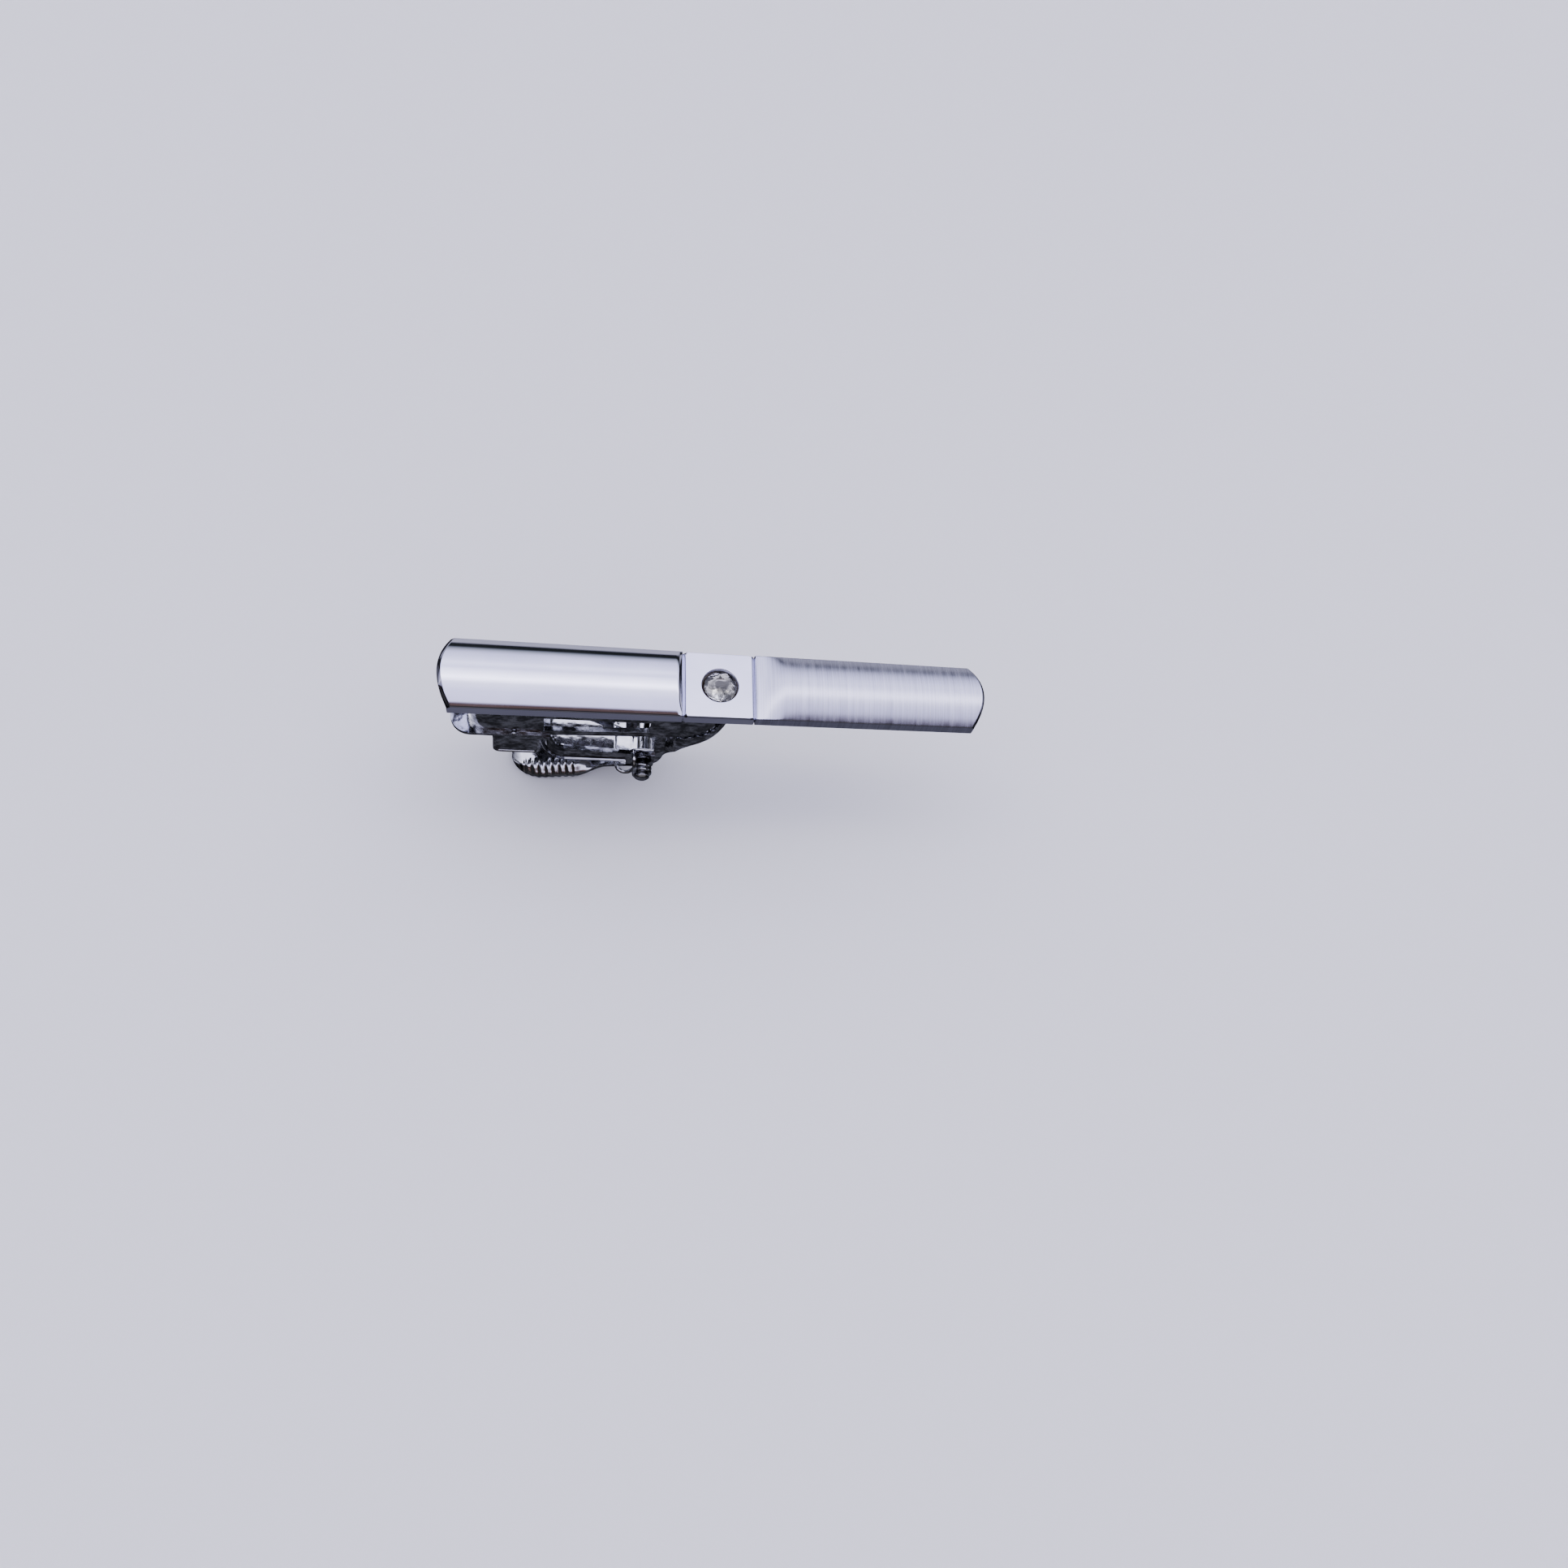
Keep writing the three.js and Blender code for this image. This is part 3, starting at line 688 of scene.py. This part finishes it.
finish(lever_body(), ["lever"], "lever", LEVER)
finish(thumb_pad(), ["lever"], "lever", LEVER)


LUG = {"rear": -16.6, "front": -13.0, "top": -5.4, "bottom": -8.2, "corner": 0.55, "rim": 0.13}
LUG_RIM_Y = 2.38


def lug_rim(name, side):
    """The turned edge round the lower end of the lug on one side of the cradle."""
    radius, turn_steps = LUG["rim"], 6
    corner = LUG["corner"]
    low = LUG["bottom"] + corner

    def turn(x, start):
        angles = [start + i * math.pi / 2 / turn_steps for i in range(turn_steps + 1)]
        return [(x + (corner - radius) * math.cos(a), low + (corner - radius) * math.sin(a)) for a in angles]

    outline = [(LUG["rear"] + radius, LUG["top"]), *turn(LUG["rear"] + corner, math.pi),
               *turn(LUG["front"] - corner, 1.5 * math.pi), (LUG["front"] - radius, LUG["top"])]
    return wire(name, [(x, side * LUG_RIM_Y, z) for x, z in outline], radius)


finish(lug_rim("lug_rim_lower", -1), ["spring_cradle"], "bar", PIN)
finish(lug_rim("lug_rim_upper", 1), ["spring_cradle"], "bar", PIN)


# --- spring ----------------------------------------------------------------------------------

WIRE = 0.16
COIL = {"radius": 0.62, "pitch": 0.35, "turns": 2, "start": 2.62}
HOOK_Z = -7.6
BRIDGE_Z = -10.75


def spring_coil(name, side):
    """Two turns outside an arm of the cradle, then a leg that hooks over the arm's upper edge."""
    per_turn = 12
    points = []
    for i in range(COIL["turns"] * per_turn + 1):
        turn = i / per_turn
        angle = math.pi - 2 * math.pi * turn
        points.append((
            PIVOT_X + COIL["radius"] * math.cos(angle), side * (COIL["start"] + turn * COIL["pitch"]),
            PIVOT_Z + COIL["radius"] * math.sin(angle)))
    x, y, _ = points[-1]
    points += [
        (x - 0.08, y, HOOK_Z - 0.9), (x - 0.12, y - side * 0.12, HOOK_Z - 0.25),
        (x - 0.14, y - side * 0.5, HOOK_Z), (x - 0.14, y - side * 1.2, HOOK_Z)]
    return wire(name, points, WIRE)


def spring_bridge():
    """The wire's middle. It rides on the lever, so it stops just short of the coils and the arm."""
    left = PIVOT_X - COIL["radius"]
    start = COIL["start"]
    half = [
        (left, start, PIVOT_Z - 0.35), (left - 0.1, start, PIVOT_Z - 0.7), (left - 0.7, start, BRIDGE_Z),
        (left - 1.2, start - 0.25, BRIDGE_Z), (left - 1.4, start - 0.8, BRIDGE_Z)]
    return wire("spring_yoke", half + [(x, -y, z) for x, y, z in reversed(half)], WIRE)


finish(spring_coil("coil_lower", -1), ["spring_coil_lower"], "bar", SPRING)
finish(spring_coil("coil_upper", 1), ["spring_coil_upper"], "bar", SPRING)
finish(spring_bridge(), ["spring_bridge"], "lever", SPRING)


# --- stage -----------------------------------------------------------------------------------

def backdrop():
    """A pale paper sweep, flat under the object and curving up to a wall all round."""
    floor_radius, bend, wall_height = 0.9, 0.5, 1.6
    profile = [(floor_radius, 0.0)]
    for i in range(1, 13):
        turn = i * math.pi / 24
        profile.append((floor_radius + bend * math.sin(turn), bend - bend * math.cos(turn)))
    profile.append((floor_radius + bend, wall_height))
    steps = 72
    turns = [2 * math.pi * i / steps for i in range(steps)]
    sections = [[Vector((r * math.cos(a), r * math.sin(a), z)) for a in turns] for r, z in profile]
    piece = loft("backdrop", sections, closed_ends=False)
    with Edit(piece) as mesh:
        mesh.verts.ensure_lookup_table()
        mesh.faces.new([mesh.verts[i] for i in range(steps)])
        bmesh.ops.recalc_face_normals(mesh, faces=mesh.faces)
    shade(piece)
    paper = Nodes("backdrop_paper", Base_Color=(0.84, 0.84, 0.85, 1), Roughness=0.9)
    piece.data.materials.append(paper.material)
    piece.visible_glossy = False
    piece.visible_shadow = False


# What the metal reflects, by the angle from straight up in degrees: minus is towards -Y, where
# the viewer stands, and plus towards +Y.
SKY = (
    (-180, (0.02, 0.02, 0.025)),
    (-168, (0.10, 0.10, 0.125)),
    (-146, (0.17, 0.17, 0.22)),
    (-132, (0.03, 0.03, 0.035)),
    (-96, (0.02, 0.018, 0.018)),
    (-86, (0.20, 0.19, 0.20)),
    (-60, (0.14, 0.13, 0.14)),
    (-44, (0.05, 0.045, 0.05)),
    (-30, (0.03, 0.028, 0.03)),
    (-28.5, (0.16, 0.10, 0.09)),
    (-24.5, (0.13, 0.085, 0.08)),
    (-22.5, (1.45, 1.42, 1.95)),
    (-8, (1.65, 1.63, 2.2)),
    (4, (2.2, 2.18, 2.7)),
    (12, (4.6, 4.5, 5.2)),
    (19, (3.4, 3.35, 4.0)),
    (30, (1.9, 1.9, 2.5)),
    (38, (2.3, 2.3, 2.9)),
    (44, (1.8, 1.8, 2.4)),
    (58, (1.25, 1.25, 1.7)),
    (65, (0.45, 0.48, 0.55)),
    (69, (0.015, 0.02, 0.02)),
    (75, (0.02, 0.022, 0.025)),
    (77, (0.6, 0.6, 0.7)),
    (100, (0.5, 0.5, 0.6)),
    (112, (0.02, 0.02, 0.025)),
)


# How strongly it is reflected, by how far along the bar the reflection points, from 0 to 1.
ALONG = ((0.62, 1.0), (0.74, 0.03), (0.84, 0.04), (0.92, 0.24))


def world():
    """A wide soft panel overhead, with dark below and round the horizon."""
    studio = bpy.data.worlds.new("studio")
    bpy.context.scene.world = studio
    studio.use_nodes = True
    tree = studio.node_tree
    new, join = tree.nodes.new, tree.links.new
    shader = tree.nodes["Background"]
    split = new("ShaderNodeSeparateXYZ")
    join(new("ShaderNodeTexCoord").outputs["Generated"], split.inputs["Vector"])

    angle = new("ShaderNodeMath")
    angle.operation = "ARCTAN2"
    join(split.outputs["Y"], angle.inputs[0])
    join(split.outputs["Z"], angle.inputs[1])
    scale = new("ShaderNodeMapRange")
    scale.inputs["From Min"].default_value = -math.pi
    scale.inputs["From Max"].default_value = math.pi
    join(angle.outputs[0], scale.inputs["Value"])
    across = new("ShaderNodeMath")
    across.operation = "ABSOLUTE"
    join(split.outputs["X"], across.inputs[0])

    fill_ramp(new, join, scale.outputs["Result"], shader.inputs["Color"],
              [((degrees + 180) / 360, color) for degrees, color in SKY])
    fill_ramp(new, join, across.outputs[0], shader.inputs["Strength"],
              [(place, (strength,) * 3) for place, strength in ALONG])


def fill_ramp(new, join, source, target, stops):
    node = new("ShaderNodeValToRGB")
    ramp = node.color_ramp
    for i, (place, color) in enumerate(stops):
        stop = ramp.elements[i] if i < 2 else ramp.elements.new(place)
        stop.position = place
        stop.color = (*color, 1)
    join(source, node.inputs["Fac"])
    join(node.outputs["Color"], target)


def camera():
    data = bpy.data.cameras.new("camera")
    data.sensor_width = 36
    data.lens = 35.78
    data.clip_start = 0.005
    eye = link("camera", data)
    eye.location = at(-13.49, -54.34, 103.84)
    eye.rotation_euler = Euler([math.radians(a) for a in (24.03, -9.31, -1.66)])
    bpy.context.scene.camera = eye


backdrop()
world()
camera()
